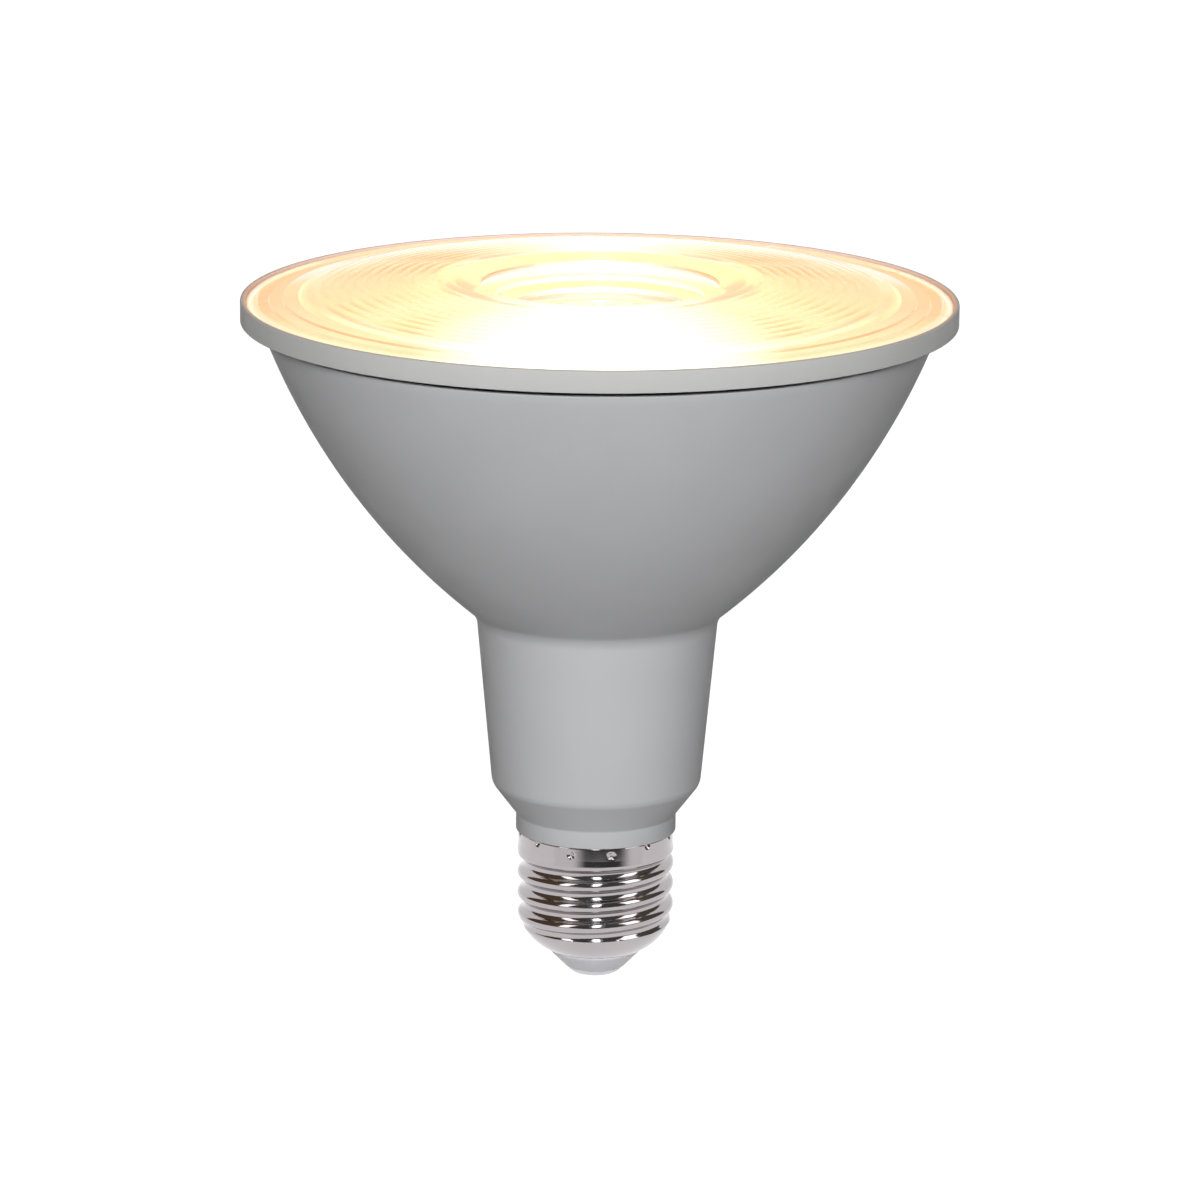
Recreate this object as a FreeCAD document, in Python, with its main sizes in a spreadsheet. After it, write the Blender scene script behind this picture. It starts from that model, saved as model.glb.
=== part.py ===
import FreeCAD, Part
import math
import os
import Sketcher

# Reflector spotlight lamp with an Edison screw cap, standing on its centre contact.
# Z is the lamp's axis, Z = 0 is the tip of the contact, all sizes are in millimetres.

SIZES = {
    # screw cap
    "crest_radius": 13.2,
    "thread_depth": 1.05,
    "thread_pitch": 3.629,
    "shell_wall": 0.35,
    "shell_draw_in": 0.12,
    "shell_collar": 3.1,
    "cap_height": 25.6,
    "shell_curve_height": 11.2,
    "shell_curve": 9.0,
    "shell_foot_radius": 8.3,
    "shell_foot_height": 4.9,
    "thread_rise": 0.34,
    "crimp_radius": 0.45,
    "crimp_setback": 1.3,
    "crimp_raise": 0.6,
    "contact_radius": 4.7,
    "contact_height": 1.5,
    "stem_radius": 1.2,
    # moulded housing
    "housing_wall": 2.0,
    "collar_step": 0.3,
    "collar_length": 3.0,
    "shoulder_height": 5.4,
    "neck_length": 29.0,
    "neck_taper": 2.7,
    "bowl_height": 48.9,
    "bowl_curve": 115.0,
    "rim_width": 4.65,
    "foot_fillet": 2.6,
    "top_fillet": 3.5,
    "spigot_length": 8.6,
    "spigot_wall": 1.6,
    # front ring, gasket and lens
    "gap_height": 1.3,
    "ring_radius": 59.5,
    "ring_height": 3.6,
    "ring_lip": 0.8,
    "ring_overhang": 3.65,
    "ring_floor": 1.7,
    "ring_fillet": 0.35,
    "skirt_wall": 1.5,
    "skirt_depth": 4.7,
    "gasket_width": 1.7,
    "gasket_setback": 0.7,
    "gasket_groove": 0.3,
    "lens_border": 7.0,
    "lens_thickness": 2.3,
    "dome_rise": 3.1,
    "well_radius": 25.2,
    "well_depth": 7.6,
    # inner parts
    "clearance": 0.3,
    "sink_wall": 1.5,
    "sink_floor": 2.5,
    "reflector_wall": 0.9,
    "sleeve_bore": 14.2,
    "sleeve_wall": 1.0,
    "sleeve_length": 42.0,
    "board_thickness": 1.6,
    "board_setback": 4.0,
    "wire_hole_radius": 3.2,
    "led_side": 3.0,
    "led_height": 0.8,
    "screw_radius": 1.25,
    "screw_head_radius": 2.6,
    "screw_head_height": 1.9,
    "connector_length": 3.4,
    "connector_width": 4.0,
    "connector_height": 2.4,
    "wire_radius": 0.7,
    "wire_bend": 1.5,
    "led_wire_radius": 0.5,
}

RIPPLES = 12
CRIMP_GROUPS = 3
CRIMP_RAISES = (0, 0, 1, 1)
FIRST_CRIMP_ANGLE = math.radians(11.7)
# where the thread starts on the lamp, in degrees round from the front pair of packages
SHELL_TURN = -94.24
OUTER_LEDS = 12
INNER_LEDS = 6
SCREW_COUNT = 3

doc = FreeCAD.newDocument("SpotlightLamp")
sheet = doc.addObject("Spreadsheet::Sheet", "Sizes")
for row, (alias, number) in enumerate(SIZES.items(), start=1):
    sheet.set("A%d" % row, alias)
    sheet.set("B%d" % row, str(number))
    sheet.setAlias("B%d" % row, alias)
doc.recompute()


class Size:
    """A length worked out from the sheet: its number now, and the expression that keeps it right."""

    def __init__(self, value, text):
        self.value = float(value)
        self.text = text

    def __add__(self, other):
        other = as_size(other)
        return Size(self.value + other.value, "(%s + %s)" % (self.text, other.text))

    def __sub__(self, other):
        other = as_size(other)
        return Size(self.value - other.value, "(%s - %s)" % (self.text, other.text))

    def __mul__(self, other):
        other = as_size(other)
        return Size(self.value * other.value, "(%s * %s)" % (self.text, other.text))

    def __truediv__(self, other):
        other = as_size(other)
        return Size(self.value / other.value, "(%s / %s)" % (self.text, other.text))

    def root(self):
        return Size(math.sqrt(self.value), "sqrt(%s)" % self.text)


def as_size(number):
    if isinstance(number, Size):
        return number
    return Size(number, "%.6g" % number if number >= 0 else "(%.6g)" % number)


def cell(alias):
    return Size(SIZES[alias], "Sizes.%s" % alias)


def minus(size):
    return as_size(0) - size


def bind(thing, prop, size):
    """Give a property its size and tie it to the sheet."""
    thing.setExpression(prop, as_size(size).text)


def new_body(name):
    body = doc.addObject("PartDesign::Body", name)
    body.Label = name
    return body


def origin_feature(body, role):
    for feature in body.Origin.OriginFeatures:
        if feature.Role == role:
            return feature
    raise ValueError("no origin feature " + role)


def new_sketch(body, name, plane="XZ_Plane", offset=None):
    """A sketch on one of the body's own planes, moved along the plane's normal by offset."""
    sketch = body.newObject("Sketcher::SketchObject", name)
    sketch.AttachmentSupport = [(origin_feature(body, plane), "")]
    sketch.MapMode = "FlatFace"
    if offset is not None:
        bind(sketch, "AttachmentOffset.Base.z", offset)
        sketch.AttachmentOffset = FreeCAD.Placement(
            FreeCAD.Vector(0, 0, as_size(offset).value), FreeCAD.Rotation())
    return sketch


def arc_middle(start, end, radius, side):
    """The point half way along an arc; side +1 bulges to the left of start to end."""
    dx = end[0] - start[0]
    dy = end[1] - start[1]
    chord = math.hypot(dx, dy)
    bulge = radius - math.sqrt(max(radius * radius - chord * chord / 4, 0))
    return FreeCAD.Vector((start[0] + end[0]) / 2 - dy / chord * bulge * side,
                          (start[1] + end[1]) / 2 + dx / chord * bulge * side, 0)


def pin_point(sketch, edge, end, point, rules):
    """Hold one end of an edge at its two sizes."""
    for kind, axis, size in (("DistanceX", -2, point[0]), ("DistanceY", -1, point[1])):
        size = as_size(size)
        if size.value == 0 and size.text == "0":
            rules.append((Sketcher.Constraint("PointOnObject", edge, end, axis), None))
        else:
            rules.append((Sketcher.Constraint(kind, -1, 1, edge, end, size.value), size))


def add_rules(sketch, rules):
    first = sketch.ConstraintCount
    sketch.addConstraint([rule for rule, size in rules])
    for number, (rule, size) in enumerate(rules, start=first):
        if size is not None:
            bind(sketch, "Constraints[%d]" % number, size)


def outline(sketch, points, arcs=None, closed=True):
    """Join the points with lines; arcs maps a point's number to the radius and side after it."""
    arcs = arcs or {}
    first = sketch.GeometryCount
    count = len(points) if closed else len(points) - 1
    flat = [(as_size(px).value, as_size(py).value) for px, py in points]
    edges = []
    rules = []
    for number in range(count):
        start = flat[number]
        end = flat[(number + 1) % len(flat)]
        a = FreeCAD.Vector(start[0], start[1], 0)
        b = FreeCAD.Vector(end[0], end[1], 0)
        if number in arcs:
            radius, side = arcs[number]
            middle = arc_middle(start, end, as_size(radius).value, side)
            edges.append(Part.Arc(a, middle, b))
        else:
            edges.append(Part.LineSegment(a, b))
    sketch.addGeometry(edges)
    ends = []
    for number in range(count):
        if number in arcs:
            # an arc is stored counterclockwise, so its first end may be the later point
            gap = sketch.getPoint(first + number, 1) - FreeCAD.Vector(*flat[number], 0)
            ends.append((1, 2) if gap.Length < 1e-6 else (2, 1))
        else:
            ends.append((1, 2))
    joints = count if closed else count - 1
    for number in range(joints):
        after = (number + 1) % count
        rules.append((Sketcher.Constraint("Coincident", first + number, ends[number][1],
                                          first + after, ends[after][0]), None))
    for number in range(count):
        pin_point(sketch, first + number, ends[number][0], points[number], rules)
    if not closed:
        pin_point(sketch, first + count - 1, ends[count - 1][1], points[-1], rules)
    for number, (radius, side) in arcs.items():
        radius = as_size(radius)
        rules.append((Sketcher.Constraint("Radius", first + number, radius.value), radius))
    add_rules(sketch, rules)


def circle(sketch, centre, radius):
    first = sketch.GeometryCount
    cx, cy, radius = as_size(centre[0]), as_size(centre[1]), as_size(radius)
    sketch.addGeometry(Part.Circle(FreeCAD.Vector(cx.value, cy.value, 0),
                                   FreeCAD.Vector(0, 0, 1), radius.value))
    rules = [(Sketcher.Constraint("Radius", first, radius.value), radius)]
    if cx.text == "0" and cy.text == "0":
        rules.append((Sketcher.Constraint("Coincident", first, 3, -1, 1), None))
    else:
        pin_point(sketch, first, 3, (cx, cy), rules)
    add_rules(sketch, rules)


def turned(body, name, points, arcs=None, kind="Revolution"):
    """A closed section in radius and height, turned about the lamp's axis."""
    sketch = new_sketch(body, name + "_section")
    outline(sketch, points, arcs)
    feature = body.newObject("PartDesign::" + kind, name)
    feature.Profile = sketch
    feature.ReferenceAxis = (sketch, ["V_Axis"])
    feature.Angle = 360
    doc.recompute()
    return feature


def raised(body, name, sketch, length):
    pad = body.newObject("PartDesign::Pad", name)
    pad.Profile = sketch
    bind(pad, "Length", length)
    doc.recompute()
    return pad


def round_pattern(body, features, count):
    pattern = body.newObject("PartDesign::PolarPattern", features[0].Name + "_round")
    pattern.Originals = features
    pattern.Axis = (origin_feature(body, "Z_Axis"), [""])
    pattern.Angle = 360
    pattern.Occurrences = count
    body.Tip = pattern
    doc.recompute()
    return pattern


def fillet_circle(body, feature, radius_at, height_at, size):
    """Round the circular edge of a turned piece that lies at the radius and height given."""
    names = []
    for number, edge in enumerate(feature.Shape.Edges, start=1):
        curve = edge.Curve
        if not isinstance(curve, Part.Circle):
            continue
        same_radius = abs(curve.Radius - as_size(radius_at).value) < 0.01
        if same_radius and abs(curve.Center.z - as_size(height_at).value) < 0.01:
            names.append("Edge%d" % number)
    if not names:
        raise ValueError("no edge to round on " + body.Label)
    fillet = body.newObject("PartDesign::Fillet", body.Name + "_fillet")
    fillet.Base = (feature, names)
    bind(fillet, "Radius", size)
    doc.recompute()
    return fillet


def wire(name, plane_offset, path, arcs, radius):
    """A round wire along a path in the XZ plane that starts straight up."""
    body = new_body(name)
    spine = new_sketch(body, name + "_path", "XZ_Plane", plane_offset)
    outline(spine, path, arcs, closed=False)
    end = new_sketch(body, name + "_end", "XY_Plane", path[0][1])
    circle(end, (path[0][0], minus(as_size(plane_offset))), radius)
    doc.recompute()
    pipe = body.newObject("PartDesign::AdditivePipe", name + "_run")
    pipe.Profile = end
    pipe.Spine = spine
    doc.recompute()
    return body


def box(name, corner, extent):
    """A plain block from its lowest corner and its three extents."""
    block = doc.addObject("Part::Box", name)
    block.Label = name
    for prop, size in zip(("Length", "Width", "Height"), extent):
        bind(block, prop, size)
    for letter, size in zip("xyz", corner):
        bind(block, "Placement.Base." + letter, size)
    return block


def rod(name, centre, radius, height, lying=False):
    """A plain round piece, upright or lying along Y, from the centre of its first end."""
    piece = doc.addObject("Part::Cylinder", name)
    piece.Label = name
    if lying:
        piece.Placement = FreeCAD.Placement(
            FreeCAD.Vector(), FreeCAD.Rotation(FreeCAD.Vector(1, 0, 0), -90))
    bind(piece, "Radius", radius)
    bind(piece, "Height", height)
    for letter, size in zip("xyz", centre):
        bind(piece, "Placement.Base." + letter, size)
    return piece


clearance = cell("clearance")

# Heights up the lamp, each stacked on the one below it.
collar_foot = cell("cap_height")
collar_top = collar_foot + cell("collar_length")
neck_foot = collar_top + cell("shoulder_height")
neck_top = neck_foot + cell("neck_length")
bowl_rim = neck_top + cell("bowl_height")
ring_foot = bowl_rim + cell("gap_height")
ring_top = ring_foot + cell("ring_height")


# Screw shell: thin rolled metal with a round Edison thread, pressed in from both sides.
crest = cell("crest_radius")
depth = cell("thread_depth")
pitch = cell("thread_pitch")
shell_wall = cell("shell_wall")
groove_floor = crest - depth
rib_back = groove_floor - shell_wall
thread_top = collar_foot - cell("shell_collar")
collar_outside = crest - cell("shell_draw_in")
collar_inside = collar_outside - shell_wall
curve_top = cell("shell_curve_height")
foot_radius = cell("shell_foot_radius")
foot_height = cell("shell_foot_height")
foot_back = foot_height + shell_wall * 1.15
thick_foot = curve_top - depth * 1.33

screw_shell = new_body("screw_shell")
screw_shell.Placement.Rotation = FreeCAD.Rotation(FreeCAD.Vector(0, 0, 1), SHELL_TURN)
turned(screw_shell, "shell_blank", [
    (foot_radius, foot_height),
    (crest, curve_top),
    (crest, thread_top),
    (collar_outside, thread_top + 0.6),
    (collar_outside, collar_foot),
    (collar_inside, collar_foot),
    (collar_inside, thread_top + 0.3),
    (rib_back, thread_top - 0.4),
    (rib_back, thick_foot),
    (foot_radius, foot_back),
], {0: (cell("shell_curve"), -1), 8: (cell("shell_curve") - 0.6, 1)})

round_over = (depth * depth + pitch * pitch / 4).root() / 2
half_groove = pitch / 2 - 0.05
flank_radius = crest - depth / 2


def thread_cut(name, points, arcs, foot, head):
    """Cut one helical groove from foot to head; points are given about the groove's middle."""
    sketch = new_sketch(screw_shell, name + "_section")
    outline(sketch, [(px, foot + py) for px, py in points], arcs)
    helix = screw_shell.newObject("PartDesign::SubtractiveHelix", name)
    helix.Profile = sketch
    helix.ReferenceAxis = (sketch, ["V_Axis"])
    helix.Mode = 0
    helix.LeftHanded = False
    helix.Reversed = False
    bind(helix, "Pitch", pitch)
    bind(helix, "Height", head - foot)
    doc.recompute()
    return helix


inner_start = curve_top + cell("thread_rise")
outer_start = inner_start - pitch * 1.5
thread_cut("outer_groove", [
    (crest + depth, minus(half_groove)),
    (crest, minus(half_groove)),
    (flank_radius, minus(pitch / 4)),
    (flank_radius, pitch / 4),
    (crest, half_groove),
    (crest + depth, half_groove),
], {1: (round_over, -1), 2: (round_over, 1), 3: (round_over, -1)},
    outer_start, thread_top - 0.98)

flank_back = flank_radius - shell_wall * 0.48
flank_half = pitch / 4 - shell_wall * 0.88
thread_cut("inner_groove", [
    (rib_back - depth, minus(half_groove)),
    (rib_back - depth, half_groove),
    (rib_back, half_groove),
    (flank_back, flank_half),
    (flank_back, minus(flank_half)),
    (rib_back, minus(half_groove)),
], {2: (round_over + shell_wall, -1), 3: (round_over - shell_wall, 1),
    4: (round_over + shell_wall, -1)},
    inner_start, thread_top - 1.88)

# Punched crimp marks that fix the shell to the housing, in groups of two low and two high ones.
crimp_radius = cell("crimp_radius")
crimp_centre = collar_outside + crimp_radius * 0.38
crimp_height = collar_foot - cell("crimp_setback")
crimp_step = math.tau / CRIMP_GROUPS / len(CRIMP_RAISES)
crimps = []
for number, share in enumerate(CRIMP_RAISES):
    angle = FIRST_CRIMP_ANGLE + number * crimp_step - math.radians(SHELL_TURN)
    crimp = screw_shell.newObject("PartDesign::SubtractiveSphere", "crimp_mark_%d" % number)
    bind(crimp, "Radius", crimp_radius)
    bind(crimp, "Placement.Base.x", crimp_centre * math.cos(angle))
    bind(crimp, "Placement.Base.y", crimp_centre * math.sin(angle))
    bind(crimp, "Placement.Base.z", crimp_height + cell("crimp_raise") * share)
    doc.recompute()
    crimps.append(crimp)
round_pattern(screw_shell, crimps, CRIMP_GROUPS)


# Insulating plug of the cap, and the centre contact riveted through it.
contact_radius = cell("contact_radius")
contact_top = cell("contact_height")
stem_radius = cell("stem_radius")
plug_top = thick_foot + 0.2
plug_radius = rib_back - 1.0
cap_insulator = new_body("cap_insulator")
turned(cap_insulator, "plug_turned", [
    (stem_radius + clearance, contact_top),
    (contact_radius + 0.3, contact_top),
    (foot_radius - clearance, foot_height - 0.3),
    (foot_radius - clearance, foot_back + 0.1),
    (plug_radius, thick_foot - 0.8),
    (plug_radius, plug_top),
    (stem_radius + clearance, plug_top),
])

stem_top = plug_top + 0.6
centre_contact = new_body("centre_contact")
turned(centre_contact, "contact_turned", [
    (0, 0),
    (contact_radius * 0.68, contact_top * 0.25),
    (contact_radius, contact_top * 0.85),
    (contact_radius, contact_top),
    (stem_radius, contact_top),
    (stem_radius, stem_top),
    (0, stem_top),
], {0: (contact_radius * 3, -1), 1: (contact_radius * 0.47, -1)})


# Housing: bowl, neck and collar moulded in one, with a spigot down inside the shell.
wall = cell("housing_wall")
sleeve_bore = cell("sleeve_bore")
sleeve_outer = sleeve_bore + cell("sleeve_wall")
ledge_outer = sleeve_outer + clearance + 0.1
neck_foot_radius = ledge_outer + wall
neck_top_radius = neck_foot_radius + cell("neck_taper")
neck_bore = neck_top_radius - wall * 1.2
ring_radius = cell("ring_radius")
rim_radius = ring_radius - cell("ring_overhang")
bore_radius = rim_radius - cell("rim_width")
skirt_foot = ring_foot - cell("skirt_depth")
bore_foot = skirt_foot - 1.0
collar_radius = crest + cell("collar_step")
spigot_radius = rib_back - clearance
spigot_bore = spigot_radius - cell("spigot_wall")
spigot_foot = collar_foot - cell("spigot_length")
spigot_step = thread_top + 0.7
bowl_curve = cell("bowl_curve")
inside_curve = bowl_curve - wall
housing = new_body("housing")
housing_turned = turned(housing, "housing_turned", [
    (spigot_bore, spigot_foot),
    (spigot_radius, spigot_foot),
    (spigot_radius, spigot_step),
    (collar_inside - clearance, spigot_step),
    (collar_inside - clearance, collar_foot),
    (collar_radius, collar_foot),
    (collar_radius, collar_top),
    (neck_foot_radius, neck_foot),
    (neck_top_radius, neck_top),
    (rim_radius, bowl_rim),
    (bore_radius, bowl_rim),
    (bore_radius, bore_foot),
    (neck_bore, neck_top + 0.9),
    (ledge_outer, neck_foot),
    (spigot_bore + 2.6, neck_foot),
    (spigot_bore, collar_top),
], {8: (bowl_curve, -1), 11: (inside_curve, 1)})
rounded = fillet_circle(housing, housing_turned, neck_foot_radius, neck_foot, cell("foot_fillet"))
fillet_circle(housing, rounded, neck_top_radius, neck_top, cell("top_fillet"))


def bowl_inside(height):
    """Radius of the housing's inner bowl at a height, from the arc through its two ends."""
    dx = bore_radius - neck_bore
    dz = bore_foot - neck_top - 0.9
    chord = (dx * dx + dz * dz).root()
    rise = (inside_curve * inside_curve - chord * chord / 4).root()
    centre_r = (bore_radius + neck_bore) / 2 - dz / chord * rise
    centre_z = (bore_foot + neck_top + 0.9) / 2 + dx / chord * rise
    drop = centre_z - height
    return centre_r + (inside_curve * inside_curve - drop * drop).root()


# Insulating sleeve round the driver, standing on the ledge at the foot of the neck.
sleeve_top = neck_foot + cell("sleeve_length")
driver_sleeve = new_body("driver_sleeve")
turned(driver_sleeve, "sleeve_turned", [
    (sleeve_bore, neck_foot),
    (sleeve_outer, neck_foot),
    (sleeve_outer, sleeve_top),
    (sleeve_bore, sleeve_top),
])


# Aluminium cup that takes the heat from the LED board into the bowl.
sink_wall = cell("sink_wall")
sink_floor = cell("sink_floor")
floor_top = sleeve_top + sink_floor
sink_top = skirt_foot - 4.5
sink_curve = inside_curve - clearance
sink_inside_foot = bowl_inside(floor_top) - clearance - sink_wall * 1.4
wire_hole = cell("wire_hole_radius")
heat_sink = new_body("heat_sink")
turned(heat_sink, "sink_turned", [
    (wire_hole, sleeve_top),
    (bowl_inside(sleeve_top) - clearance, sleeve_top),
    (bowl_inside(sink_top) - clearance, sink_top),
    (bowl_inside(sink_top) - clearance - sink_wall, sink_top),
    (sink_inside_foot, floor_top),
    (wire_hole, floor_top),
], {1: (sink_curve, -1), 3: (sink_curve - sink_wall, 1)})

reflector_wall = cell("reflector_wall")
reflector_foot = sink_inside_foot - clearance
led_board_radius = reflector_foot - reflector_wall * 1.9 - clearance
screw_circle = led_board_radius - cell("screw_head_radius") - 0.9
screw_radius = cell("screw_radius")


def round_holes(body, name, foot, radius, length):
    """Holes for the board's screws, cut upwards from a height."""
    sketch = new_sketch(body, name + "_outline", "XY_Plane", foot)
    circle(sketch, (screw_circle, 0), radius)
    pocket = body.newObject("PartDesign::Pocket", name)
    pocket.Profile = sketch
    pocket.Reversed = True
    bind(pocket, "Length", length)
    doc.recompute()
    return round_pattern(body, [pocket], SCREW_COUNT)


round_holes(heat_sink, "sink_hole", sleeve_top, screw_radius + clearance, sink_floor)


# LED board, its light packages, screws, wire connector and lead wires.
board_thickness = cell("board_thickness")
board_top = floor_top + board_thickness
led_board = new_body("led_board")
board_sketch = new_sketch(led_board, "led_board_outline", "XY_Plane", floor_top)
circle(board_sketch, (0, 0), led_board_radius)
circle(board_sketch, (0, 0), wire_hole)
raised(led_board, "led_board_plate", board_sketch, board_thickness)
round_holes(led_board, "led_board_hole", floor_top, screw_radius * 1.44, board_thickness)

connector_x = wire_hole + 0.6
connector_width = cell("connector_width")
connector_end = connector_x + cell("connector_length")
box("board_connector", (connector_x, minus(connector_width / 2), board_top),
    (cell("connector_length"), connector_width, cell("connector_height")))

# the outer ring of packages keeps clear of the screw heads, the inner one of the connector
led_half = cell("led_side") / 2
outer_leds = screw_circle - cell("screw_head_radius") - led_half - clearance
inner_leds = connector_end + (outer_leds - connector_end) * 0.3
led_packages = new_body("led_packages")
led_packages.AllowCompound = True
for ring, (count, centre) in enumerate(((OUTER_LEDS, outer_leds), (INNER_LEDS, inner_leds))):
    led_sketch = new_sketch(led_packages, "led_outline_%d" % ring, "XY_Plane", board_top)
    outline(led_sketch, [(centre - led_half, minus(led_half)), (centre + led_half, minus(led_half)),
                         (centre + led_half, led_half), (centre - led_half, led_half)])
    led = raised(led_packages, "led_%d" % ring, led_sketch, cell("led_height"))
    round_pattern(led_packages, [led], count)

board_screws = new_body("board_screws")
board_screws.AllowCompound = True
shank_sketch = new_sketch(board_screws, "screw_shank_outline", "XY_Plane", sleeve_top + clearance)
circle(shank_sketch, (screw_circle, 0), screw_radius)
shank = raised(board_screws, "screw_shank", shank_sketch,
               sink_floor + board_thickness - clearance)
head_height = cell("screw_head_height")
head_sketch = new_sketch(board_screws, "screw_head_outline", "XY_Plane", board_top)
circle(head_sketch, (screw_circle, 0), cell("screw_head_radius"))
head = raised(board_screws, "screw_head", head_sketch, head_height)
slot_half = screw_radius * 0.28
slot_reach = cell("screw_head_radius") * 0.54
slot_sketch = new_sketch(board_screws, "screw_recess_outline", "XY_Plane",
                         board_top + head_height / 2)
outline(slot_sketch, [(screw_circle - slot_half, minus(slot_reach)),
                      (screw_circle + slot_half, minus(slot_reach)),
                      (screw_circle + slot_half, slot_reach),
                      (screw_circle - slot_half, slot_reach)])
slot = board_screws.newObject("PartDesign::Pocket", "screw_recess")
slot.Profile = slot_sketch
slot.Reversed = True
bind(slot, "Length", head_height)
doc.recompute()
round_pattern(board_screws, [shank, head, slot], SCREW_COUNT)


# Reflector cup round the board, reaching up to just under the lens.
ring_ledge = ring_foot + cell("ring_floor")
skirt_outer = bore_radius - clearance
skirt_inner = skirt_outer - cell("skirt_wall")
reflector_rim = skirt_inner - clearance
reflector_top = ring_ledge - clearance
rim_depth = reflector_wall * 1.8
reflector = new_body("reflector")
turned(reflector, "reflector_turned", [
    (reflector_foot - reflector_wall * 1.9, floor_top),
    (reflector_foot, floor_top),
    (reflector_rim - 0.7, reflector_top - rim_depth),
    (reflector_rim, reflector_top - rim_depth),
    (reflector_rim, reflector_top),
    (reflector_rim - reflector_wall, reflector_top),
])


# Front ring on its black gasket, and the lens lying on the ring's ledge.
lip_inner = ring_radius - cell("ring_lip")
gasket_seat = ring_foot + cell("gasket_groove")
groove_outer = rim_radius + 0.5
front_ring = new_body("front_ring")
ring_turned = turned(front_ring, "ring_turned", [
    (skirt_inner, skirt_foot),
    (skirt_outer, skirt_foot),
    (skirt_outer, gasket_seat),
    (groove_outer, gasket_seat),
    (groove_outer, ring_foot),
    (ring_radius, ring_foot),
    (ring_radius, ring_top),
    (lip_inner, ring_top),
    (lip_inner, ring_ledge),
    (skirt_inner, ring_ledge),
])
fillet_circle(front_ring, ring_turned, ring_radius, ring_top, cell("ring_fillet"))

gasket_outer = rim_radius - cell("gasket_setback")
gasket_inner = gasket_outer - cell("gasket_width")
rim_gasket = new_body("rim_gasket")
turned(rim_gasket, "gasket_turned", [
    (gasket_inner, bowl_rim),
    (gasket_outer, bowl_rim),
    (gasket_outer, gasket_seat),
    (gasket_inner, gasket_seat),
])

lens_edge = lip_inner - clearance
border = cell("lens_border")
step_radius = ring_radius - border
well_radius = cell("well_radius")
well_depth = cell("well_depth")
rise = cell("dome_rise")
step_top = ring_top + 0.4
lip_height = step_top + rise
thickness = cell("lens_thickness")
ripple_pitch = (step_radius - well_radius - 4.4) / RIPPLES

# each step of the well: its share of the well's radius, then its edge's and its foot's share of the depth
WELL_STEPS = ((0.46, 0.82, 0.96), (0.563, 0.58, 0.71), (0.69, 0.39, 0.49), (0.79, 0.13, 0.26))
lens_points = [(0, lip_height - well_depth)]
for share, edge_share, foot_share in WELL_STEPS:
    lens_points.append((well_radius * (share - 0.008), lip_height - well_depth * foot_share))
    lens_points.append((well_radius * share, lip_height - well_depth * edge_share))
lens_arcs = {}
for number in range(RIPPLES + 1):
    outward = ripple_pitch * number
    fall = outward / (step_radius - well_radius)
    lens_points.append((well_radius + outward, lip_height - rise * fall * fall))
    if number < RIPPLES:
        lens_arcs[len(lens_points) - 1] = (ripple_pitch * 5.0, 1)
lens_points += [
    (step_radius, step_top),
    (step_radius + border * 0.02, ring_top + 0.05),
    (step_radius + border * 0.3, ring_top),
    (step_radius + border * 0.34, ring_top - 0.4),
    (step_radius + border * 0.586, ring_top - 0.4),
    (step_radius + border * 0.63, ring_top - 0.05),
    (lens_edge - 0.15, ring_top - 0.45),
    (lens_edge, ring_top - 0.6),
    (lens_edge, ring_ledge),
    (skirt_inner, ring_ledge),
    (well_radius + 2.8, lip_height - thickness - 0.3),
    (well_radius * 0.9, lip_height - thickness - 1.3),
    (well_radius * 0.52, lip_height - well_depth * 0.96 - thickness * 0.65),
    (0, lip_height - well_depth - thickness),
]
lens = new_body("lens")
turned(lens, "lens_turned", lens_points, lens_arcs)


# Driver board in the sleeve, with the parts of a small flyback supply on its two faces.
# Their sizes are shares of the room in the sleeve, across (reach) and along (board_length).
reach = (sleeve_bore - clearance) * 0.998
face = board_thickness / 2
board_foot = neck_foot
board_length = cell("sleeve_length") - cell("board_setback")
board_head = board_foot + board_length
box("driver_board", (minus(reach), minus(face), board_foot),
    (reach * 2, board_thickness, board_length))

capacitor_radius = reach * 0.36
rod("electrolytic_capacitor",
    (minus(reach * 0.469), face + capacitor_radius, board_foot + board_length * 0.42),
    capacitor_radius, board_length * 0.447)
resistor_radius = reach * 0.108
rod("fuse_resistor", (minus(reach * 0.029), face + resistor_radius, board_foot + board_length * 0.105),
    resistor_radius, board_length * 0.263)
rod("choke", (minus(reach * 0.447), face, board_foot + board_length * 0.25),
    reach * 0.25, reach * 0.505, lying=True)
box("film_capacitor", (reach * 0.144, face, board_foot + board_length * 0.105),
    (reach * 0.577, reach * 0.36, board_length * 0.237))
rectifier_depth = reach * 0.18
box("bridge_rectifier", (minus(reach * 0.541), minus(face + rectifier_depth),
                         board_foot + board_length * 0.158),
    (reach * 0.469, rectifier_depth, board_length * 0.132))
chip_depth = reach * 0.108
box("driver_chip", (reach * 0.072, minus(face + chip_depth), board_foot + board_length * 0.395),
    (reach * 0.288, chip_depth, board_length * 0.132))

# transformer: a ferrite frame with two windows, and the winding round its middle leg
core_x = reach * 0.317
core_z = board_foot + board_length * 0.632
core_width = reach * 0.72
core_height = board_length * 0.316
core_depth = reach * 0.548
core_front = face + reach * 0.094
transformer_core = new_body("transformer_core")
core_sketch = new_sketch(transformer_core, "core_outline", "XZ_Plane", minus(core_front))


def upright_frame(sketch, left, right, half_height):
    """A rectangle about the transformer's middle, from its left and right sides."""
    outline(sketch, [(left, core_z - half_height), (right, core_z - half_height),
                     (right, core_z + half_height), (left, core_z + half_height)])


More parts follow.
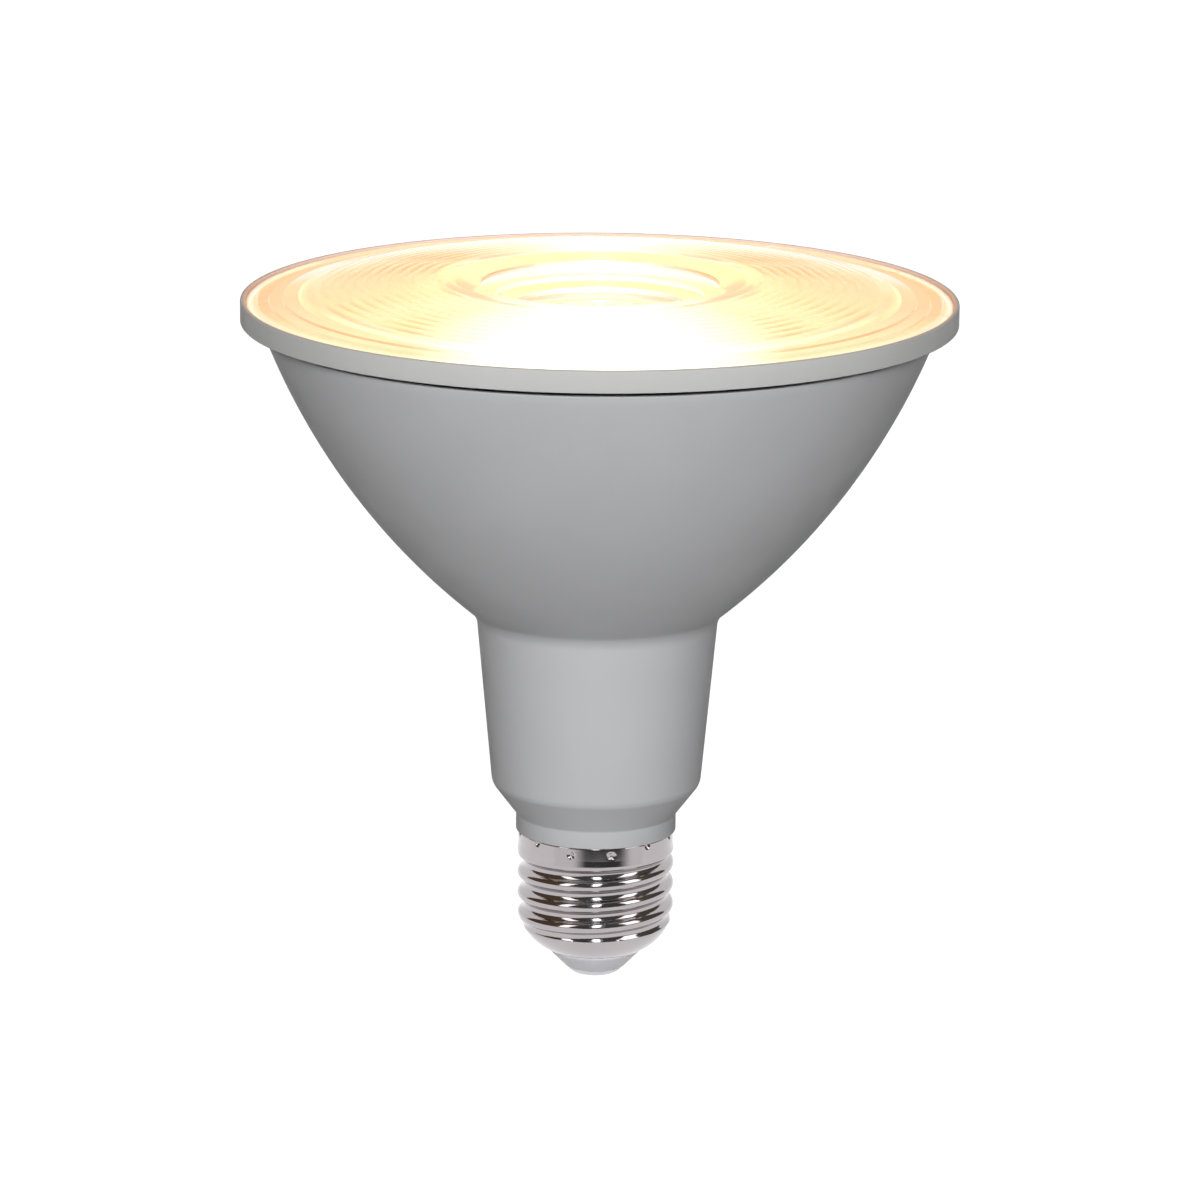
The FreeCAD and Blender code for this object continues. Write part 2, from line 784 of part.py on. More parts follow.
upright_frame(core_sketch, core_x - core_width / 2, core_x + core_width / 2, core_height / 2)
upright_frame(core_sketch, core_x - core_width * 0.36, core_x - core_width * 0.15,
              core_height / 3)
upright_frame(core_sketch, core_x + core_width * 0.15, core_x + core_width * 0.36,
              core_height / 3)
core_pad = transformer_core.newObject("PartDesign::Pad", "core_block")
core_pad.Profile = core_sketch
core_pad.Reversed = True
bind(core_pad, "Length", core_depth)
doc.recompute()

winding_half = core_height * 0.308
transformer_winding = new_body("transformer_winding")
winding_sketch = new_sketch(transformer_winding, "winding_outline", "XY_Plane",
                            core_z - winding_half)
for half, near, far in (
        (core_width * 0.33, face, core_front + core_depth + core_width * 0.12),
        (core_width * 0.18, core_front - clearance, core_front + core_depth + clearance)):
    outline(winding_sketch, [(core_x - half, near), (core_x + half, near),
                             (core_x + half, far), (core_x - half, far)])
raised(transformer_winding, "winding_block", winding_sketch, winding_half * 2)


# Wires: contact to board, shell to board, and board to LEDs.
wire_radius = cell("wire_radius")
bend = cell("wire_bend")
bend_foot = stem_top + bend * 3.3
wire("centre_wire", 0, [
    (0, stem_top),
    (0, bend_foot),
    (minus(bend), bend_foot + bend),
    (minus(bend * 2), bend_foot + bend * 2),
    (minus(bend * 2), board_foot),
], {1: (bend, -1), 2: (bend, 1)}, wire_radius)
side_bend = bend * 0.8
side_path_x = spigot_bore - side_bend
side_run = spigot_foot - 0.2 - side_bend
wire("side_wire", 0, [
    (side_path_x, board_foot),
    (side_path_x, spigot_foot - 0.2),
    (spigot_bore, side_run),
    (rib_back - clearance, side_run),
], {1: (side_bend, -1)}, wire_radius * 0.8)
led_bend = bend * 0.667
led_wire_radius = cell("led_wire_radius")
led_wire_x = wire_hole * 0.375
for name, shift in (("led_wire_plus", led_wire_radius * 2), ("led_wire_minus", led_wire_radius * -2)):
    wire(name, shift, [
        (led_wire_x, board_head),
        (led_wire_x, board_top + 0.2),
        (led_wire_x + led_bend, board_top + 0.2 + led_bend),
        (connector_x, board_top + 0.2 + led_bend),
    ], {1: (led_bend, 1)}, led_wire_radius)

doc.recompute()

PIECES = [
    "lens", "front_ring", "rim_gasket", "housing", "reflector", "heat_sink",
    "led_board", "led_packages", "board_screws", "board_connector",
    "led_wire_plus", "led_wire_minus", "driver_sleeve", "driver_board",
    "electrolytic_capacitor", "transformer_core", "transformer_winding", "choke",
    "film_capacitor", "fuse_resistor", "bridge_rectifier", "driver_chip",
    "centre_wire", "side_wire", "screw_shell", "cap_insulator", "centre_contact",
]

for thing in doc.Objects:
    if "Invalid" in thing.State or "Error" in thing.State:
        raise RuntimeError("%s did not compute: %s" % (thing.Name, thing.State))

os.makedirs("parts", exist_ok=True)
for name in PIECES:
    piece = doc.getObjectsByLabel(name)[0]
    shape = piece.Shape
    if shape.isNull() or not shape.isValid():
        raise RuntimeError("no sound shape for " + name)
    shape.exportStep("parts/%s.step" % name)
    print("%-24s %10.1f mm3, solids %d" % (name, shape.Volume, len(shape.Solids)))
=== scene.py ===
import bpy
import math
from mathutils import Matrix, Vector


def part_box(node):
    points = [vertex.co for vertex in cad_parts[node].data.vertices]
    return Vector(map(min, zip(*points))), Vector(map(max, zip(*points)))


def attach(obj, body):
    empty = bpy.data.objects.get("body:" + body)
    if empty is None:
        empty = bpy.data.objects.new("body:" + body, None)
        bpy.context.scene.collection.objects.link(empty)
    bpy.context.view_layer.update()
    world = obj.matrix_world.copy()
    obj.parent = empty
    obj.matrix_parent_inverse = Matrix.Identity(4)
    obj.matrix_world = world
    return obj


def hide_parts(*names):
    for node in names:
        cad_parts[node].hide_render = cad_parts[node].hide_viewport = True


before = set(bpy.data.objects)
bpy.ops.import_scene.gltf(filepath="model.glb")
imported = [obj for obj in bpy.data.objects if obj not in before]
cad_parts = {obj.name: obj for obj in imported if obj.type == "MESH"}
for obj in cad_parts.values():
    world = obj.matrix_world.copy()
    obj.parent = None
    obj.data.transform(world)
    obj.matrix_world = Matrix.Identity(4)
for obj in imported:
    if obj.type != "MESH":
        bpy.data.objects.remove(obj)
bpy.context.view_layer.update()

# Lengths on the lamp are in millimetres and are turned to metres by MM where a piece is made.
# Lengths in the studio round it, at the end, are in metres.
MM = 0.001
TURN_STEPS = 240
WELD_WITHIN = 0.004
CIRCLE_SLACK = 0.03
SMOOTH_ANGLE = 32
LOW, HIGH = 0, 1


def height_of(node, end):
    """Height of a CAD node's lowest or highest point."""
    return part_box(node)[end].z / MM


def radius_of(node):
    """Outer radius of a turned CAD node."""
    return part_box(node)[HIGH].x / MM


COLLAR_FOOT = height_of("screw_shell", HIGH)
BOWL_RIM = height_of("housing", HIGH)
RING_TOP = height_of("front_ring", HIGH)
RING_RADIUS = radius_of("front_ring")
RIM_RADIUS = radius_of("housing")
CREST_RADIUS = radius_of("screw_shell")


# Modelling helpers


def deselect():
    """Leave edit mode and let go of every piece."""
    if bpy.context.object and bpy.context.object.mode == "EDIT":
        bpy.ops.object.mode_set(mode="OBJECT")
    bpy.ops.object.select_all(action="DESELECT")


def arc(start, end, radius, side, count):
    """Points along an arc from start to end, without start; side +1 bulges to the left."""
    (x0, z0), (x1, z1) = start, end
    chord = math.hypot(x1 - x0, z1 - z0)
    lift = math.sqrt(radius * radius - chord * chord / 4)
    cx = (x0 + x1) / 2 + (z1 - z0) / chord * lift * side
    cz = (z0 + z1) / 2 - (x1 - x0) / chord * lift * side
    first = math.atan2(z0 - cz, x0 - cx)
    sweep = -2 * math.asin(chord / 2 / radius) * side
    return [(cx + radius * math.cos(first + sweep * step / count),
             cz + radius * math.sin(first + sweep * step / count))
            for step in range(1, count + 1)]


def start_point(name, place):
    """A new piece of one point, left in edit mode with the point selected."""
    deselect()
    bpy.ops.mesh.primitive_plane_add(size=MM)
    piece = bpy.context.object
    piece.name = name
    piece.data.name = name
    bpy.ops.object.mode_set(mode="EDIT")
    bpy.ops.mesh.select_mode(type="VERT")
    bpy.ops.mesh.select_all(action="SELECT")
    bpy.ops.mesh.merge(type="CENTER")
    bpy.ops.transform.translate(value=place)
    return piece


def turned(name, section, closed=True, steps=TURN_STEPS):
    """A piece turned about the lamp's axis: one point is extruded along the section, then spun."""
    first = Vector((section[0][0] * MM, 0, section[0][1] * MM))
    piece = start_point(name, first)
    here = first
    for radius, height in section[1:]:
        there = Vector((radius * MM, 0, height * MM))
        bpy.ops.mesh.extrude_region_move(TRANSFORM_OT_translate={"value": there - here})
        here = there
    if closed:
        bpy.ops.mesh.extrude_region_move(TRANSFORM_OT_translate={"value": first - here})
    bpy.ops.mesh.select_all(action="SELECT")
    bpy.ops.mesh.spin(steps=steps, angle=math.tau, center=(0, 0, 0), axis=(0, 0, 1))
    bpy.ops.mesh.select_all(action="SELECT")
    bpy.ops.mesh.remove_doubles(threshold=WELD_WITHIN * MM)
    bpy.ops.mesh.normals_make_consistent(inside=False)
    bpy.ops.object.mode_set(mode="OBJECT")
    return piece


def select_circle(piece, radius, height):
    """In edit mode, select the edges that lie on one circle round the lamp's axis."""
    bpy.ops.object.mode_set(mode="EDIT")
    bpy.ops.mesh.select_mode(type="EDGE")
    bpy.ops.mesh.select_all(action="DESELECT")
    bpy.ops.object.mode_set(mode="OBJECT")
    for edge in piece.data.edges:
        ends = [piece.data.vertices[number].co / MM for number in edge.vertices]
        edge.select = all(abs(math.hypot(end.x, end.y) - radius) < CIRCLE_SLACK
                          and abs(end.z - height) < CIRCLE_SLACK for end in ends)
    bpy.ops.object.mode_set(mode="EDIT")


def round_edges(piece, edges):
    """Round turned edges, each given by its radius, its height, how far the rounding reaches to
    each side of it, and the number of segments."""
    for radius, height, width, segments in edges:
        select_circle(piece, radius, height)
        bpy.ops.mesh.bevel(offset=width * MM, segments=segments, affect="EDGES")
        bpy.ops.object.mode_set(mode="OBJECT")


def finish_piece(piece, material, node, angle=SMOOTH_ANGLE):
    """Smooth the edges under an angle in degrees, add the material, and stand in for the node."""
    deselect()
    piece.select_set(True)
    bpy.context.view_layer.objects.active = piece
    bpy.ops.object.shade_smooth_by_angle(angle=math.radians(angle))
    piece.data.materials.clear()
    piece.data.materials.append(material)
    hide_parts(node)
    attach(piece, "root")


# Materials


class Nodes:
    """A node tree under construction, for the world or for a finish."""

    def __init__(self, tree):
        self.tree = tree

    def node(self, kind, **properties):
        node = self.tree.nodes.new("ShaderNode" + kind)
        for name, value in properties.items():
            setattr(node, name, value)
        return node

    def link(self, source, target):
        self.tree.links.new(source, target)

    def ramp(self, factor, stops):
        """Colours along a factor; stops are (position, colour)."""
        ramp = self.node("ValToRGB")
        elements = ramp.color_ramp.elements
        while len(elements) < len(stops):
            elements.new(0.5)
        for element, (position, colour) in zip(elements, stops):
            element.position = position
            element.color = (*colour, 1)
        self.link(factor, ramp.inputs["Fac"])
        return ramp.outputs["Color"]

    def span(self, value, low, high, to_low=0.0, to_high=1.0, **properties):
        """Spread a value from its own range over another."""
        span = self.node("MapRange", **properties)
        for name, number in (("From Min", low), ("From Max", high),
                             ("To Min", to_low), ("To Max", to_high)):
            span.inputs[name].default_value = number
        self.link(value, span.inputs["Value"])
        return span.outputs["Result"]

    def maths(self, operation, first, second=None):
        maths = self.node("Math", operation=operation)
        for number, value in enumerate((first, second)):
            if value is None:
                continue
            if isinstance(value, (int, float)):
                maths.inputs[number].default_value = value
            else:
                self.link(value, maths.inputs[number])
        return maths.outputs[0]

    def seen_directly(self):
        """1 to the camera, in gloss and through glass, and 0 to the light that falls on the lamp."""
        path = self.node("LightPath")
        direct = self.maths("MAXIMUM", path.outputs["Is Camera Ray"], path.outputs["Is Glossy Ray"])
        return self.maths("MAXIMUM", direct, path.outputs["Is Transmission Ray"])


class Finish(Nodes):
    """A material under construction: its node tree, its shader and its object coordinates."""

    def __init__(self, name):
        self.material = bpy.data.materials.new(name)
        self.material.use_nodes = True
        super().__init__(self.material.node_tree)
        self.shader = self.tree.nodes["Principled BSDF"]
        self.place = self.node("TexCoord").outputs["Object"]

    def set(self, **values):
        for name, value in values.items():
            self.shader.inputs[name.replace("_", " ")].default_value = value
        return self

    def noise(self, scale, detail=3.0, roughness=0.5):
        """Noise on the object's own coordinates; scale is how many blobs there are to a metre."""
        noise = self.node("TexNoise")
        noise.inputs["Scale"].default_value = scale
        noise.inputs["Detail"].default_value = detail
        noise.inputs["Roughness"].default_value = roughness
        self.link(self.place, noise.inputs["Vector"])
        return noise.outputs["Fac"]

    def along(self, axis):
        """Place along one axis of the lamp, in millimetres; Z starts at the contact's tip."""
        parts = self.node("SeparateXYZ")
        self.link(self.place, parts.inputs[0])
        return self.maths("MULTIPLY", parts.outputs[axis], 1 / MM)

    def radius(self):
        """Distance from the lamp's axis, in millimetres."""
        squares = [self.maths("MULTIPLY", place, place)
                   for place in (self.along("X"), self.along("Y"))]
        return self.maths("SQRT", self.maths("ADD", *squares))

    def added(self, colour, share, more):
        """A colour with a share of another added to it."""
        added = self.node("MixRGB", blend_type="ADD")
        added.inputs["Color2"].default_value = (*more, 1)
        self.link(share, added.inputs["Fac"])
        self.link(colour, added.inputs["Color1"])
        return added.outputs["Color"]

    def glow(self, colour, strength=None):
        """Make the finish shine with colours that vary, at a plain strength or at one that varies."""
        self.link(colour, self.shader.inputs["Emission Color"])
        if strength is None:
            return self.set(Emission_Strength=1.0)
        self.link(strength, self.shader.inputs["Emission Strength"])
        return self

    def colour(self, base, change, scale):
        """A colour with faint blotches, change being the share by which it varies."""
        darker = [part * (1 - change) for part in base]
        lighter = [min(part * (1 + change), 1) for part in base]
        blotches = self.span(self.noise(scale), 0.35, 0.65)
        self.link(self.ramp(blotches, ((0, darker), (1, lighter))), self.shader.inputs["Base Color"])
        return self

    def sheen_of_surface(self, low, high, scale):
        """Roughness that wanders between two values."""
        self.link(self.span(self.noise(scale, detail=4), 0.3, 0.7, low, high),
                  self.shader.inputs["Roughness"])
        return self

    def grain(self, scale, depth):
        """A fine bump; depth is its height in millimetres."""
        bump = self.node("Bump")
        bump.inputs["Strength"].default_value = 1.0
        bump.inputs["Distance"].default_value = depth * MM
        self.link(self.noise(scale, detail=4, roughness=0.6), bump.inputs["Height"])
        self.link(bump.outputs["Normal"], self.shader.inputs["Normal"])
        return self


def plastic(name, base, rough=(0.42, 0.52), change=0.015, grain_depth=0.012, grain_scale=2600):
    finish = Finish(name)
    finish.colour(base, change, scale=70)
    finish.sheen_of_surface(*rough, scale=160)
    finish.grain(grain_scale, grain_depth)
    return finish


def metal(name, base, rough=(0.16, 0.24), change=0.02, grain_depth=0.004, grain_scale=1500):
    finish = Finish(name)
    finish.set(Metallic=1.0)
    finish.colour(base, change, scale=120)
    finish.sheen_of_surface(*rough, scale=260)
    finish.grain(grain_scale, grain_depth)
    return finish


housing_plastic = plastic("satin grey housing", (0.515, 0.518, 0.528), rough=(0.55, 0.65)).set(
    Specular_IOR_Level=0.15).material


def ring_finish():
    """Grey plastic whose lip has a painted warm glow, standing in for the light that spills from the
    lens beside it.
    """
    finish = plastic("satin grey ring", (0.53, 0.53, 0.525), rough=(0.5, 0.6))
    finish.set(Specular_IOR_Level=0.25)
    # painted light: the lip glows warm as if lit by the lens
    painted_lip_glow = finish.ramp(finish.span(finish.radius(), RING_RADIUS - 0.9, RING_RADIUS),
                        ((0.0, (0.32, 0.12, 0.04)), (0.5, (0.12, 0.04, 0.015)), (0.9, (0, 0, 0))))
    finish.glow(painted_lip_glow, finish.span(finish.along("Z"), RING_TOP - 0.6, RING_TOP - 0.2))
    return finish.material


ring_plastic = ring_finish()
gasket_rubber = plastic("black silicone", (0.02, 0.02, 0.021), rough=(0.6, 0.75),
                        change=0.2, grain_depth=0.02).material
insulator_glaze = plastic("pale insulator", (0.80, 0.79, 0.84), rough=(0.22, 0.32),
                          grain_depth=0.006).material
contact_tin = metal("tinned contact", (0.60, 0.59, 0.62), rough=(0.3, 0.42)).material
nickel = metal("bright nickel", (0.455, 0.425, 0.435), rough=(0.08, 0.13), change=0.03,
               grain_depth=0.0015, grain_scale=700).material

# The light inside, painted on the reflector as its glow: warm at the reflector's rim, nearly white
# down by the light packages.
GLOW_RIM = (1.0, 0.62, 0.18)
GLOW_UPPER = (1.0, 0.66, 0.20)
GLOW_LOWER = (1.0, 0.77, 0.44)
GLOW_FOOT = (1.0, 0.93, 0.80)
REFLECTOR_FOOT, REFLECTOR_RIM = 78.0, 114.6

# The lens's painted glow, standing in for the light from below: a radius in millimetres and the
# colour there. Each step of the border has its own brightness.
LENS_GLOW = (
    (0.0, (0.08, 0.07, 0.08)),
    (24.0, (0.12, 0.09, 0.05)),
    (26.0, (0.17, 0.10, 0.05)),
    (33.0, (0.15, 0.05, 0.02)),
    (48.6, (0.14, 0.03, 0.01)),
    (49.6, (0.36, 0.24, 0.14)),
    (52.2, (0.36, 0.24, 0.14)),
    (52.5, (0.36, 0.18, 0.09)),
    (52.8, (0.36, 0.21, 0.12)),
    (54.5, (0.36, 0.21, 0.12)),
    (54.8, (0.36, 0.19, 0.10)),
    (56.9, (0.40, 0.19, 0.10)),
    (57.0, (0.50, 0.37, 0.29)),
    (58.0, (0.50, 0.37, 0.29)),
    (58.4, (0.40, 0.16, 0.06)),
)
LENS_GLOW_REACH = 60.0
# painted glare added to the lens's glow
PAINTED_GLARE = (0.3, 0.42, 0.42)
# painted light that makes the front half of the lens's border paler
BORDER_PAINTED_LIGHT = (0.0, 0.11, 0.07)


def lit_wall():
    """White plastic with painted light: it glows in the light's colour by height."""
    finish = plastic("lit white reflector", (0.34, 0.29, 0.20), rough=(0.12, 0.2), grain_depth=0.01)
    climb = finish.span(finish.along("Z"), REFLECTOR_FOOT, REFLECTOR_RIM)
    glow = finish.ramp(climb, ((0.0, GLOW_FOOT), (0.3, GLOW_LOWER), (0.75, GLOW_UPPER),
                               (1.0, GLOW_RIM)))
    # painted light: emission stands in for the packages lighting the wall
    finish.glow(glow, finish.span(climb, 0.0, 1.0, 1.3, 0.8))
    return finish.material


def lit_board():
    """White lacquer with painted light: it glows almost evenly."""
    finish = plastic("lit white board", (0.5, 0.49, 0.45), rough=(0.3, 0.4))
    finish.set(Emission_Color=(1.0, 0.95, 0.8, 1))
    # painted light: emission stands in for the packages lighting the board
    finish.link(finish.span(finish.noise(scale=90), 0.3, 0.7, 0.8, 1.0),
                finish.shader.inputs["Emission Strength"])
    return finish.material


def lit_phosphor():
    """The light source itself."""
    finish = plastic("lit phosphor", (1.0, 0.85, 0.4), rough=(0.3, 0.4))
    finish.set(Emission_Color=(1.0, 0.93, 0.72, 1))
    finish.link(finish.span(finish.noise(scale=400), 0.3, 0.7, 2.6, 3.2),
                finish.shader.inputs["Emission Strength"])
    return finish.material


def clear_lens():
    """Clear plastic lit from below, with the light painted in as its glow: light runs out to the
    flange and glows there in rings.
    """
    finish = Finish("clear lit lens")
    finish.set(Transmission_Weight=1.0, IOR=1.49, Roughness=0.12)
    finish.colour((1.0, 0.975, 0.93), change=0.004, scale=60)
    rings = finish.span(finish.radius(), 0.0, LENS_GLOW_REACH)
    glow = finish.ramp(rings, [(radius / LENS_GLOW_REACH, colour) for radius, colour in LENS_GLOW])
    # painted glare where the packages shine straight through, at the front and weaker at the back
    front = finish.span(finish.along("Y"), -15, -50)
    back = finish.maths("MULTIPLY", finish.span(finish.along("Y"), 24, 38, 0.0, 0.6),
                        finish.span(finish.radius(), 51, 46))
    middle = finish.span(finish.maths("ABSOLUTE", finish.along("X")), 30, 5)
    painted_glare = finish.maths("MULTIPLY", finish.maths("MAXIMUM", front, back), middle)
    # painted light: the front half of the border is paler than the back half
    border = finish.maths("MULTIPLY", finish.span(finish.radius(), 47, 50),
                          finish.span(finish.along("Y"), -6, -36))
    finish.glow(finish.added(finish.added(glow, painted_glare, PAINTED_GLARE), border, BORDER_PAINTED_LIGHT))
    finish.grain(scale=300, depth=0.004)
    return finish.material


lens_plastic = clear_lens()

INNER_FINISHES = {
    "reflector": lit_wall(),
    "led_board": lit_board(),
    "led_packages": lit_phosphor(),
    "heat_sink": metal("pressed aluminium", (0.77, 0.77, 0.78), rough=(0.35, 0.5)).material,
    "board_screws": metal("zinc plated steel", (0.7, 0.7, 0.71)).material,
    "board_connector": plastic("white connector", (0.85, 0.84, 0.8)).material,
    "led_wire_plus": plastic("red insulation", (0.6, 0.04, 0.03), rough=(0.3, 0.4)).material,
    "led_wire_minus": plastic("black insulation", (0.03, 0.03, 0.03), rough=(0.3, 0.4)).material,
    "driver_sleeve": plastic("white sleeve", (0.82, 0.82, 0.8)).material,
    "driver_board": plastic("green board lacquer", (0.05, 0.22, 0.07), rough=(0.25, 0.4),
                            change=0.08).material,
    "electrolytic_capacitor": plastic("dark shrink sleeve", (0.03, 0.035, 0.07),
                                      rough=(0.25, 0.35)).material,
    "transformer_core": plastic("ferrite", (0.05, 0.05, 0.055), rough=(0.5, 0.7),
                                grain_depth=0.03).material,
    "transformer_winding": plastic("yellow winding tape", (0.75, 0.52, 0.05),
                                   rough=(0.25, 0.35), change=0.05).material,
    "choke": plastic("choke ferrite", (0.05, 0.05, 0.055), rough=(0.5, 0.7),
                     grain_depth=0.03).material,
    "film_capacitor": plastic("red capacitor case", (0.45, 0.06, 0.03), rough=(0.3, 0.4)).material,
    "fuse_resistor": plastic("green lacquer", (0.08, 0.22, 0.1), rough=(0.3, 0.45)).material,
    "bridge_rectifier": plastic("rectifier epoxy", (0.03, 0.03, 0.032), rough=(0.5, 0.65)).material,
    "driver_chip": plastic("chip epoxy", (0.03, 0.03, 0.032), rough=(0.5, 0.65)).material,
    "centre_wire": plastic("white insulation", (0.8, 0.8, 0.77), rough=(0.3, 0.4)).material,
    "side_wire": plastic("side wire insulation", (0.8, 0.8, 0.77), rough=(0.3, 0.4)).material,
}
for node, material in INNER_FINISHES.items():
    for material_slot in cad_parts[node].material_slots:
        material_slot.material = material


# Lens

STEP_RADIUS = RING_RADIUS - 7.0
LENS_EDGE = radius_of("lens")
LENS_LEDGE = RING_TOP - 1.9
LENS_LIP = RING_TOP + 3.5
DOME_RISE = 3.1
WELL_RADIUS = 25.2
WELL_DEPTH = 7.6
LENS_THICKNESS = 2.3
LENS_START = 0.05
SKIRT_INNER = 49.4
RIPPLES = 12
PLAIN_BAND = 4.4
RIPPLE_PITCH = (STEP_RADIUS - WELL_RADIUS - PLAIN_BAND) / RIPPLES
RIPPLE_CURVE = RIPPLE_PITCH * 5.0
WELL_WALL_CURVE = 16
WELL_LIP = 0.6
WELL_LIP_FALL = 0.2
EDGE_TOP = RING_TOP - 0.45
EDGE_ROUND = 0.15
UNDERSIDE = LENS_LIP - LENS_THICKNESS
UNDERSIDE_CURVE = 160
# Each step of the well: its radius, then the depths of its edge and its foot, as shares.
WELL_STEPS = ((0.46, 0.82, 0.96), (0.563, 0.58, 0.71), (0.69, 0.39, 0.49), (0.79, 0.13, 0.26))
WELL_TREAD, WELL_SLOPE = 0.02, 0.004
# Each step of the border: a share of its width, and a height over the ring's top.
BORDER_STEPS = ((0.0, 0.4), (0.02, 0.05), (0.3, 0.0), (0.34, -0.4), (0.586, -0.4), (0.63, -0.05))


def lens_section():
    """The lens from the middle of its upper side outwards, and back along its lower side."""
    section = [(LENS_START, LENS_LIP - WELL_DEPTH)]
    for share, edge, foot in WELL_STEPS:
        section += [
            (WELL_RADIUS * (share - WELL_TREAD), LENS_LIP - WELL_DEPTH * foot),
            (WELL_RADIUS * (share - WELL_SLOPE), LENS_LIP - WELL_DEPTH * (edge + foot) / 2),
            (WELL_RADIUS * share, LENS_LIP - WELL_DEPTH * edge),
        ]
    well_brink = (WELL_RADIUS - WELL_LIP, LENS_LIP - WELL_LIP_FALL)
    section += arc(section[-1], well_brink, WELL_WALL_CURVE, 1, 6)
    section.append((WELL_RADIUS, LENS_LIP))
    for number in range(1, RIPPLES + 1):
        run = RIPPLE_PITCH * number
        fall = run / (STEP_RADIUS - WELL_RADIUS)
        crest = (WELL_RADIUS + run, LENS_LIP - DOME_RISE * fall * fall)
        section += arc(section[-1], crest, RIPPLE_CURVE, 1, 8)
    border = RING_RADIUS - STEP_RADIUS
    section += [(STEP_RADIUS + border * share, RING_TOP + rise) for share, rise in BORDER_STEPS]
    section += [
        (LENS_EDGE - EDGE_ROUND, EDGE_TOP),
        (LENS_EDGE, EDGE_TOP - EDGE_ROUND),
        (LENS_EDGE, LENS_LEDGE),
        (SKIRT_INNER, LENS_LEDGE),
    ]
    section += arc(section[-1], (WELL_RADIUS + 1.0, UNDERSIDE - 0.3), UNDERSIDE_CURVE, -1, 14)
    section += [
        (WELL_RADIUS * 0.9, UNDERSIDE - 1.3),
        (WELL_RADIUS * 0.52, LENS_LIP - WELL_DEPTH * 0.96 - LENS_THICKNESS * 0.65),
        (LENS_START, UNDERSIDE - WELL_DEPTH),
    ]
    return section


lens = turned("lens_moulding", lens_section())
finish_piece(lens, lens_plastic, "lens", angle=40)


# Front ring and gasket

RING_FOOT = BOWL_RIM + 1.3
RING_LIP = 0.8
RING_LEDGE = RING_FOOT + 1.7
SKIRT_FOOT = height_of("front_ring", LOW)
BORE_RADIUS = RIM_RADIUS - 4.65
SKIRT_OUTER = BORE_RADIUS - 0.3
GASKET_SEAT = height_of("rim_gasket", HIGH)
GROOVE_OUTER = RIM_RADIUS + 0.5

front_ring = turned("front_ring_moulding", [
    (SKIRT_INNER, SKIRT_FOOT),
    (SKIRT_OUTER, SKIRT_FOOT),
    (SKIRT_OUTER, GASKET_SEAT),
    (GROOVE_OUTER, GASKET_SEAT),
    (GROOVE_OUTER, RING_FOOT),
    (RING_RADIUS, RING_FOOT),
    (RING_RADIUS, RING_TOP),
    (RING_RADIUS - RING_LIP, RING_TOP),
    (RING_RADIUS - RING_LIP, RING_LEDGE),
    (SKIRT_INNER, RING_LEDGE),
])
round_edges(front_ring, (
    (RING_RADIUS, RING_TOP, 0.35, 4),
    (RING_RADIUS, RING_FOOT, 0.12, 3),
    (RING_RADIUS - RING_LIP, RING_TOP, 0.15, 3),
))
finish_piece(front_ring, ring_plastic, "front_ring")

GASKET_RADIUS = radius_of("rim_gasket")
GASKET_INNER = GASKET_RADIUS - 1.7
GASKET_SHOULDER = GASKET_RADIUS - 0.3
GASKET_ROUND = 0.35
gasket = turned("gasket_seal", [
    (GASKET_INNER, BOWL_RIM),
    (GASKET_SHOULDER, BOWL_RIM),
    (GASKET_RADIUS, BOWL_RIM + GASKET_ROUND),
    (GASKET_RADIUS, GASKET_SEAT - GASKET_ROUND),
    (GASKET_SHOULDER, GASKET_SEAT),
    (GASKET_INNER, GASKET_SEAT),
])
finish_piece(gasket, gasket_rubber, "rim_gasket")


# Housing

COLLAR_RADIUS = CREST_RADIUS + 0.3
COLLAR_TOP = COLLAR_FOOT + 3.0
NECK_FOOT = COLLAR_TOP + 5.4
NECK_TOP = NECK_FOOT + 29.0
NECK_FOOT_RADIUS = 17.6
NECK_TOP_RADIUS = NECK_FOOT_RADIUS + 2.7
BOWL_CURVE = 115.0
WALL = 2.0
SPIGOT_FOOT = height_of("housing", LOW)
SPIGOT_RADIUS = 11.5
SPIGOT_BORE = SPIGOT_RADIUS - 1.6
SPIGOT_FLARE = 2.6
SPIGOT_STEP = COLLAR_FOOT - 2.4
COLLAR_INSIDE = 12.43
BORE_FOOT = SKIRT_FOOT - 1.0
NECK_BORE = NECK_TOP_RADIUS - WALL * 1.2
NECK_BORE_TOP = NECK_TOP + 0.9

bowl_arc = arc((NECK_TOP_RADIUS, NECK_TOP), (RIM_RADIUS, BOWL_RIM), BOWL_CURVE, -1, 34)
inner_arc = arc((BORE_RADIUS, BORE_FOOT), (NECK_BORE, NECK_BORE_TOP), BOWL_CURVE - WALL, 1, 20)
housing = turned("bowl_moulding", [
    (SPIGOT_BORE, SPIGOT_FOOT),
    (SPIGOT_RADIUS, SPIGOT_FOOT),
    (SPIGOT_RADIUS, SPIGOT_STEP),
    (COLLAR_INSIDE, SPIGOT_STEP),
    (COLLAR_INSIDE, COLLAR_FOOT),
    (COLLAR_RADIUS, COLLAR_FOOT),
    (COLLAR_RADIUS, COLLAR_TOP),
    (NECK_FOOT_RADIUS, NECK_FOOT),
    (NECK_TOP_RADIUS, NECK_TOP),
    *bowl_arc,
    (BORE_RADIUS, BOWL_RIM),
    (BORE_RADIUS, BORE_FOOT),
    *inner_arc,
    (NECK_FOOT_RADIUS - WALL, NECK_FOOT),
    (SPIGOT_BORE + SPIGOT_FLARE, NECK_FOOT),
    (SPIGOT_BORE, COLLAR_TOP),
])
